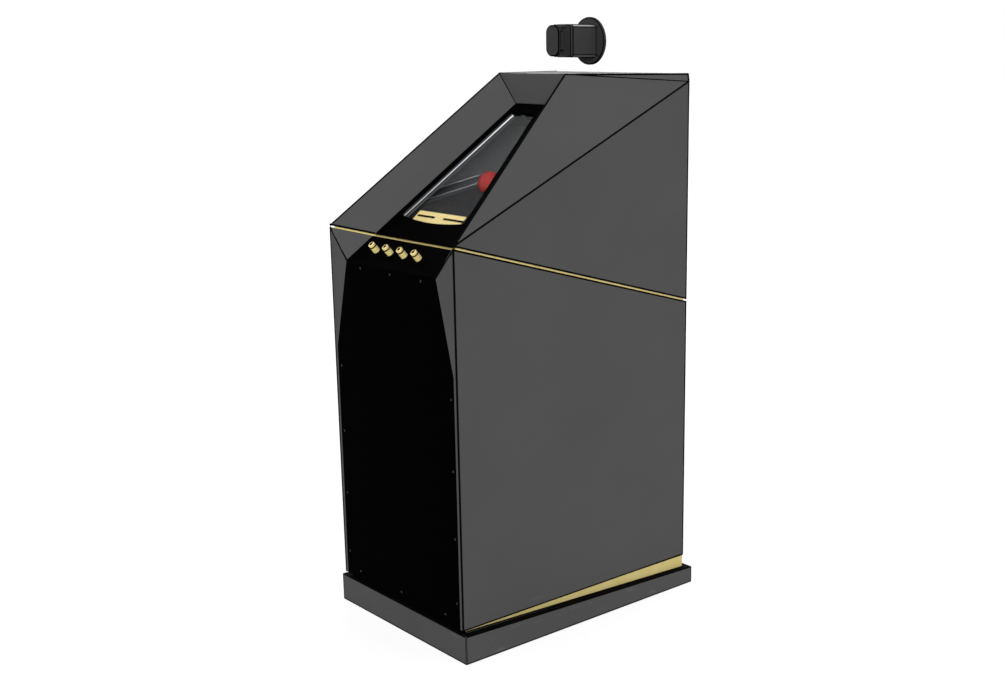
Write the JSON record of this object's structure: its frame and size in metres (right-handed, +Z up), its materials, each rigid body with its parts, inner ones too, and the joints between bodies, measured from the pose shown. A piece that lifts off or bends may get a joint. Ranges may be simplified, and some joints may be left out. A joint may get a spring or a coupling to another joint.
{
  "type": "dance rhythm machine",
  "caption": "Free-standing boarded cabinet with a faceted hood, a beat hand behind a sloping window, control knobs and a swivelling sensor head on a post",
  "frame": {"origin": "middle of the plinth's underside, on the floor", "axes": "+Z up, +Y towards the back, +X to the right as seen from the front"},
  "size_m": [0.598, 0.842, 1.654],
  "materials": {
    "cabinet_paint": "satin dark grey spray lacquer on birch ply board",
    "black_panel": "satin black high-pressure laminate",
    "brass": "satin brass",
    "glass": "clear float glass",
    "dial_light": "matt mid-grey dial sheet",
    "dial_dark": "matt dark backboard",
    "hand": "dark anodised aluminium with bright milled edges",
    "red_dome": "moulded red acrylic",
    "light_strip": "white diffuser",
    "steel": "zinc-plated steel",
    "black_steel": "black powder coat",
    "clear_acrylic": "clear cast acrylic rod, polished",
    "unit_black": "aluminium, powder-coated dark charcoal",
    "smoked": "smoked infrared-pass acrylic",
    "black_plastic": "black moulded nylon",
    "board_green": "green solder resist",
    "batten": "planed softwood",
    "rubber": "black rubber"
  },
  "bodies": {
    "cabinet": {"plinth": "cabinet_paint", "levelling_feet": "rubber", "brass_riser": "brass", "side_board_left": "cabinet_paint", "side_board_right": "cabinet_paint", "bottom_board": "cabinet_paint", "back_frame": "cabinet_paint", "front_gussets": "cabinet_paint", "lower_bevels": "cabinet_paint", "front_panel": "black_panel", "front_battens": "batten", "front_panel_screws": "black_steel", "control_panel": "black_panel", "potentiometers": "steel", "brass_seam_strip": "brass", "hood_side_left": "cabinet_paint", "hood_side_right": "cabinet_paint", "hood_facet_left": "cabinet_paint", "hood_facet_right": "cabinet_paint", "hood_bevel_left": "cabinet_paint", "hood_bevel_right": "cabinet_paint", "roof_board": "cabinet_paint", "head_board": "cabinet_paint", "hood_back_board": "cabinet_paint", "window_bezel": "black_panel", "window_glass": "glass", "light_strips": "light_strip", "brass_plate": "brass", "window_spacers": "black_plastic", "dial_backboard": "dial_dark", "dial_sector": "dial_light", "gearmotor": "steel", "hinge_fixed_leaves": "steel", "hinge_pins": "steel", "fan_frame": "black_plastic", "speakers": "black_plastic", "speaker_grilles": "black_steel", "shelf_board": "batten", "amplifier": "unit_black", "power_supply": "steel", "controller_board": "board_green", "inlet_module": "black_plastic", "mast_post": "clear_acrylic", "mast_rose": "unit_black"},
    "knob_1": {"knob_1": "brass"},
    "knob_2": {"knob_2": "brass"},
    "knob_3": {"knob_3": "brass"},
    "knob_4": {"knob_4": "brass"},
    "beat_hand": {"beat_hand": "hand", "beat_dome": "red_dome", "hand_shaft": "steel"},
    "service_door": {"service_door": "cabinet_paint", "hinge_moving_leaves": "steel", "lock_barrel": "steel"},
    "lock_plug": {"lock_plug": "steel"},
    "fan_rotor": {"fan_rotor": "black_plastic"},
    "rocker_switch": {"rocker_switch": "black_plastic"},
    "swivel_box": {"swivel_box": "unit_black"},
    "sensor_head": {"sensor_head": "unit_black", "sensor_window": "smoked"}
  },
  "joints": [
    {"name": "knob_1_turn", "type": "hinge", "parent": "cabinet", "child": "knob_1", "pos_m": [-0.106, -0.3828, 1.03961], "axis": [0, -0.6437, 0.7652], "range_deg": [-150, 150]},
    {"name": "knob_2_turn", "type": "hinge", "parent": "cabinet", "child": "knob_2", "pos_m": [-0.041, -0.3828, 1.03961], "axis": [0, -0.6437, 0.7652], "range_deg": [-150, 150]},
    {"name": "knob_3_turn", "type": "hinge", "parent": "cabinet", "child": "knob_3", "pos_m": [0.024, -0.3828, 1.03961], "axis": [0, -0.6437, 0.7652], "range_deg": [-150, 150]},
    {"name": "knob_4_turn", "type": "hinge", "parent": "cabinet", "child": "knob_4", "pos_m": [0.089, -0.3828, 1.03961], "axis": [0, -0.6437, 0.7652], "range_deg": [-150, 150]},
    {"name": "beat_sweep", "type": "hinge", "parent": "cabinet", "child": "beat_hand", "pos_m": [0, -0.08411, 1.21116], "axis": [0, -0.6437, 0.7652], "range_deg": [-235.4, 0]},
    {"name": "door_swing", "type": "hinge", "parent": "cabinet", "child": "service_door", "pos_m": [0.191, 0.4024, 0.48], "axis": [0, 0, -1], "range_deg": [0, 110]},
    {"name": "lock_turn", "type": "hinge", "parent": "service_door", "child": "lock_plug", "pos_m": [-0.165, 0.398, 0.48], "axis": [0, -1, 0], "range_deg": [0, 90]},
    {"name": "fan_spin", "type": "hinge", "parent": "cabinet", "child": "fan_rotor", "pos_m": [0, 0.3745, 1.39], "axis": [0, 1, 0], "continuous": true},
    {"name": "switch_rock", "type": "hinge", "parent": "cabinet", "child": "rocker_switch", "pos_m": [0.135, 0.398, 0.15], "axis": [1, 0, 0], "range_deg": [-8, 8]},
    {"name": "unit_roll", "type": "hinge", "parent": "cabinet", "child": "swivel_box", "pos_m": [0, 0.279, 1.588], "axis": [0, -1, 0], "range_deg": [-90, 90]},
    {"name": "head_pan", "type": "hinge", "parent": "swivel_box", "child": "sensor_head", "pos_m": [0, 0.1686, 1.588], "axis": [0, 0, 1], "range_deg": [-50, 50]}
  ]
}
